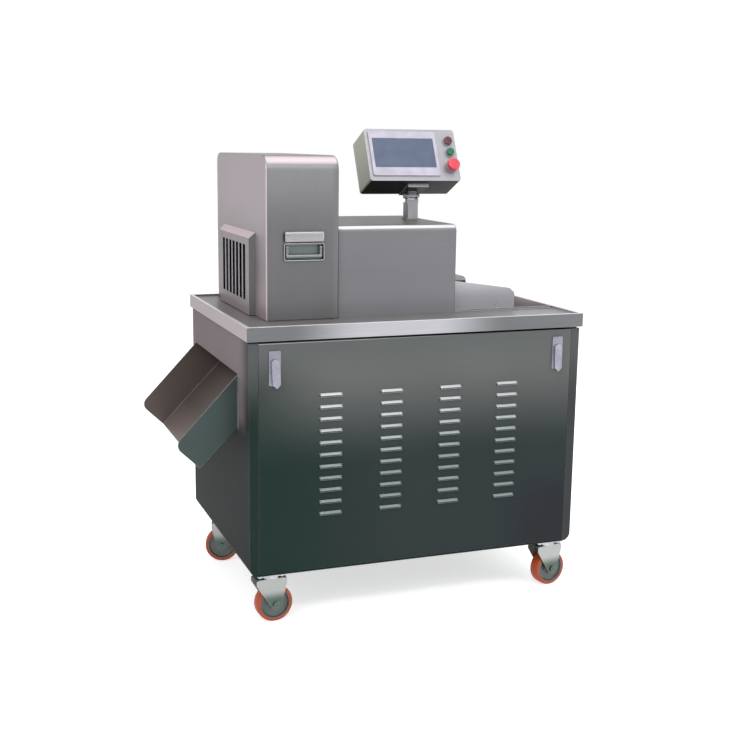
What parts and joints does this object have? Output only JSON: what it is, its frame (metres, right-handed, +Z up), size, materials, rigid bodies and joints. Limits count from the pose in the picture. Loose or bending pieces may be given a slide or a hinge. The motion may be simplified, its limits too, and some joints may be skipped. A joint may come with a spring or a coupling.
{
  "type": "meat dicer",
  "caption": "Meat dicer on a wheeled louvred cabinet, with a feed belt, slitting rolls, a rotating knife under a hinged cover, a side chute and a tilting control box.",
  "frame": {"origin": "middle of the base of the overall box, on the floor under the casters", "axes": "+Z up, -Y towards the louvred front panel and the operator, -X towards the discharge chute, +X along the feed table"},
  "size_m": [1.16, 0.7276, 1.3469],
  "materials": {
    "cabinet_shell": "satin brushed stainless steel",
    "chassis_frame": "welded stainless tube",
    "rear_panel": "satin brushed stainless steel",
    "worktop": "satin brushed stainless steel",
    "feed_well": "satin brushed stainless steel",
    "discharge_chute": "satin brushed stainless steel",
    "feed_cover": "satin brushed stainless steel",
    "screen_post": "satin brushed stainless steel",
    "knife_head_plate": "milled stainless steel",
    "bearing_housing": "turned stainless steel",
    "meat_channel": "satin brushed stainless steel",
    "feed_plate_front": "satin brushed stainless steel",
    "feed_plate_rear": "satin brushed stainless steel",
    "belt_bed": "satin brushed stainless steel",
    "feed_belt": "white food belt",
    "infeed_guard": "dark rounded sheet guard",
    "knife_motor": "grey painted motor",
    "knife_belt": "black rubber belt",
    "feed_gear_motor": "grey painted gear motor",
    "drive_chain": "oiled steel chain",
    "control_cabinet": "light grey painted box",
    "cable_gland": "black plastic",
    "switch_plate": "yellow plastic",
    "cover_hinge_base": "satin brushed stainless steel",
    "caster_plates": "zinc plated steel",
    "knife_cover": "satin brushed stainless steel",
    "vent_hood": "satin brushed stainless steel",
    "handle_pan": "polished steel",
    "cover_hinge_strap": "satin brushed stainless steel",
    "handle_bail": "polished steel",
    "front_panel": "satin brushed stainless steel",
    "latch_plates": "bright zinc",
    "latch_lever_left": "bright zinc",
    "latch_lever_right": "bright zinc",
    "switch_knob": "red plastic",
    "screen_box": "satin brushed stainless steel",
    "screen_bezel": "light grey plastic",
    "screen_glass": "blue-grey display window",
    "button_rings": "grey plastic",
    "pilot_lamp": "dark red lens",
    "start_button": "green plastic",
    "stop_button": "red plastic",
    "knife_shaft": "turned stainless steel",
    "cutoff_knife": "ground knife steel",
    "knife_pulley": "dark cast iron",
    "motor_pulley": "dark cast iron",
    "slitting_roll_lower": "ground knife steel",
    "slitting_roll_upper": "ground knife steel",
    "gear_motor_sprocket": "oiled steel",
    "feed_drive_roller": "satin brushed stainless steel",
    "feed_tail_roller": "satin brushed stainless steel",
    "hold_down_roller": "white food plastic",
    "caster_fork_front_left": "zinc plated steel",
    "caster_wheel_front_left": "orange polyurethane tyre on a grey core",
    "caster_fork_front_right": "zinc plated steel",
    "caster_wheel_front_right": "orange polyurethane tyre on a grey core",
    "caster_fork_rear_left": "zinc plated steel",
    "caster_wheel_rear_left": "orange polyurethane tyre on a grey core",
    "caster_fork_rear_right": "zinc plated steel",
    "caster_wheel_rear_right": "orange polyurethane tyre on a grey core"
  },
  "bodies": {
    "cabinet": {"cabinet_shell": "cabinet_shell", "chassis_frame": "chassis_frame", "rear_panel": "rear_panel", "worktop": "worktop", "feed_well": "feed_well", "discharge_chute": "discharge_chute", "feed_cover": "feed_cover", "screen_post": "screen_post", "knife_head_plate": "knife_head_plate", "bearing_housing": "bearing_housing", "meat_channel": "meat_channel", "feed_plate_front": "feed_plate_front", "feed_plate_rear": "feed_plate_rear", "belt_bed": "belt_bed", "feed_belt": "feed_belt", "infeed_guard": "infeed_guard", "knife_motor": "knife_motor", "knife_belt": "knife_belt", "feed_gear_motor": "feed_gear_motor", "drive_chain": "drive_chain", "control_cabinet": "control_cabinet", "cable_gland": "cable_gland", "switch_plate": "switch_plate", "cover_hinge_base": "cover_hinge_base", "caster_plates": "caster_plates"},
    "knife_cover": {"knife_cover": "knife_cover", "vent_hood": "vent_hood", "handle_pan": "handle_pan", "cover_hinge_strap": "cover_hinge_strap"},
    "handle": {"handle_bail": "handle_bail"},
    "front_panel": {"front_panel": "front_panel", "latch_plates": "latch_plates"},
    "latch_left": {"latch_lever_left": "latch_lever_left"},
    "latch_right": {"latch_lever_right": "latch_lever_right"},
    "main_switch": {"switch_knob": "switch_knob"},
    "control_unit": {"screen_box": "screen_box", "screen_bezel": "screen_bezel", "screen_glass": "screen_glass", "button_rings": "button_rings", "pilot_lamp": "pilot_lamp"},
    "start": {"start_button": "start_button"},
    "stop": {"stop_button": "stop_button"},
    "knife": {"knife_shaft": "knife_shaft", "cutoff_knife": "cutoff_knife", "knife_pulley": "knife_pulley"},
    "motor_pulley": {"motor_pulley": "motor_pulley"},
    "lower_roll": {"slitting_roll_lower": "slitting_roll_lower"},
    "upper_roll": {"slitting_roll_upper": "slitting_roll_upper"},
    "sprocket": {"gear_motor_sprocket": "gear_motor_sprocket"},
    "drive_roller": {"feed_drive_roller": "feed_drive_roller"},
    "tail_roller": {"feed_tail_roller": "feed_tail_roller"},
    "hold_down": {"hold_down_roller": "hold_down_roller"},
    "fork_front_left": {"caster_fork_front_left": "caster_fork_front_left"},
    "wheel_front_left": {"caster_wheel_front_left": "caster_wheel_front_left"},
    "fork_front_right": {"caster_fork_front_right": "caster_fork_front_right"},
    "wheel_front_right": {"caster_wheel_front_right": "caster_wheel_front_right"},
    "fork_rear_left": {"caster_fork_rear_left": "caster_fork_rear_left"},
    "wheel_rear_left": {"caster_wheel_rear_left": "caster_wheel_rear_left"},
    "fork_rear_right": {"caster_fork_rear_right": "caster_fork_rear_right"},
    "wheel_rear_right": {"caster_wheel_rear_right": "caster_wheel_rear_right"}
  },
  "joints": [
    {"name": "cover_hinge", "type": "hinge", "parent": "cabinet", "child": "knife_cover", "pos_m": [-0.22811, 0.33925, 0.839], "axis": [-1, 0, 0], "range_deg": [0, 75]},
    {"name": "handle_fold", "type": "hinge", "parent": "knife_cover", "child": "handle", "pos_m": [-0.22511, -0.23375, 1.0235], "axis": [-1, 0, 0], "range_deg": [0, 85]},
    {"name": "panel_tilt", "type": "hinge", "parent": "cabinet", "child": "front_panel", "pos_m": [0.07989, -0.34875, 0.1545], "axis": [1, 0, 0], "range_deg": [0, 25]},
    {"name": "latch_left_turn", "type": "hinge", "parent": "front_panel", "child": "latch_left", "pos_m": [-0.34261, -0.35675, 0.7315], "axis": [0, 1, 0], "range_deg": [0, 90]},
    {"name": "latch_right_turn", "type": "hinge", "parent": "front_panel", "child": "latch_right", "pos_m": [0.50239, -0.35675, 0.7315], "axis": [0, -1, 0], "range_deg": [0, 90]},
    {"name": "switch_turn", "type": "hinge", "parent": "cabinet", "child": "main_switch", "pos_m": [0.32989, 0.34925, 0.58], "axis": [0, 1, 0], "range_deg": [0, 90]},
    {"name": "screen_tilt", "type": "hinge", "parent": "cabinet", "child": "control_unit", "pos_m": [0.19389, 0.01725, 1.1496], "axis": [1, 0, 0], "range_deg": [-12, 15]},
    {"name": "start_press", "type": "slide", "parent": "control_unit", "child": "start", "axis": [0, 0.9063, -0.4226], "range_m": [0, 0.003], "stiffness_N_per_m": 400},
    {"name": "stop_press", "type": "slide", "parent": "control_unit", "child": "stop", "axis": [0, 0.9063, -0.4226], "range_m": [0, 0.006], "stiffness_N_per_m": 400},
    {"name": "knife_spin", "type": "hinge", "parent": "cabinet", "child": "knife", "pos_m": [-0.23011, 0.00425, 0.96], "axis": [1, 0, 0], "continuous": true},
    {"name": "motor_spin", "type": "hinge", "parent": "cabinet", "child": "motor_pulley", "pos_m": [0.01989, 0.12925, 0.905], "axis": [1, 0, 0], "continuous": true},
    {"name": "lower_roll_spin", "type": "hinge", "parent": "cabinet", "child": "lower_roll", "pos_m": [-0.06811, -0.10575, 0.85], "axis": [0, 1, 0], "continuous": true},
    {"name": "upper_roll_spin", "type": "hinge", "parent": "cabinet", "child": "upper_roll", "pos_m": [-0.06811, -0.10575, 0.92], "axis": [0, 1, 0], "continuous": true},
    {"name": "sprocket_spin", "type": "hinge", "parent": "cabinet", "child": "sprocket", "pos_m": [-0.06811, -0.21075, 0.64], "axis": [0, 1, 0], "continuous": true},
    {"name": "drive_roller_spin", "type": "hinge", "parent": "cabinet", "child": "drive_roller", "pos_m": [0.00789, -0.10575, 0.837], "axis": [0, 1, 0], "continuous": true},
    {"name": "tail_roller_spin", "type": "hinge", "parent": "cabinet", "child": "tail_roller", "pos_m": [0.38289, -0.10575, 0.837], "axis": [0, 1, 0], "continuous": true},
    {"name": "hold_down_spin", "type": "hinge", "parent": "cabinet", "child": "hold_down", "pos_m": [0.13989, -0.10575, 0.94], "axis": [0, 1, 0], "continuous": true},
    {"name": "swivel_front_left", "type": "hinge", "parent": "cabinet", "child": "fork_front_left", "pos_m": [-0.35011, -0.31875, 0.125], "axis": [0, 0, 1], "continuous": true},
    {"name": "roll_front_left", "type": "hinge", "parent": "fork_front_left", "child": "wheel_front_left", "pos_m": [-0.33814, -0.31791, 0.052], "axis": [-0.0698, 0.9976, 0], "continuous": true},
    {"name": "swivel_front_right", "type": "hinge", "parent": "cabinet", "child": "fork_front_right", "pos_m": [0.50989, -0.31875, 0.125], "axis": [0, 0, 1], "continuous": true},
    {"name": "roll_front_right", "type": "hinge", "parent": "fork_front_right", "child": "wheel_front_right", "pos_m": [0.52171, -0.31667, 0.052], "axis": [-0.1736, 0.9848, 0], "continuous": true},
    {"name": "swivel_rear_left", "type": "hinge", "parent": "cabinet", "child": "fork_rear_left", "pos_m": [-0.35011, 0.18625, 0.125], "axis": [0, 0, 1], "continuous": true},
    {"name": "roll_rear_left", "type": "hinge", "parent": "fork_rear_left", "child": "wheel_rear_left", "pos_m": [-0.3617, 0.18936, 0.052], "axis": [-0.2588, -0.9659, 0], "continuous": true},
    {"name": "swivel_rear_right", "type": "hinge", "parent": "cabinet", "child": "fork_rear_right", "pos_m": [0.50989, 0.18625, 0.125], "axis": [0, 0, 1], "continuous": true},
    {"name": "roll_rear_right", "type": "hinge", "parent": "fork_rear_right", "child": "wheel_rear_right", "pos_m": [0.49808, 0.18417, 0.052], "axis": [0.1736, -0.9848, 0], "continuous": true}
  ],
  "couplings": [
    {"joint": "motor_spin", "follows": "knife_spin", "ratio": 1.2143},
    {"joint": "upper_roll_spin", "follows": "lower_roll_spin", "ratio": -1},
    {"joint": "sprocket_spin", "follows": "lower_roll_spin", "ratio": 1},
    {"joint": "tail_roller_spin", "follows": "drive_roller_spin", "ratio": 1}
  ]
}
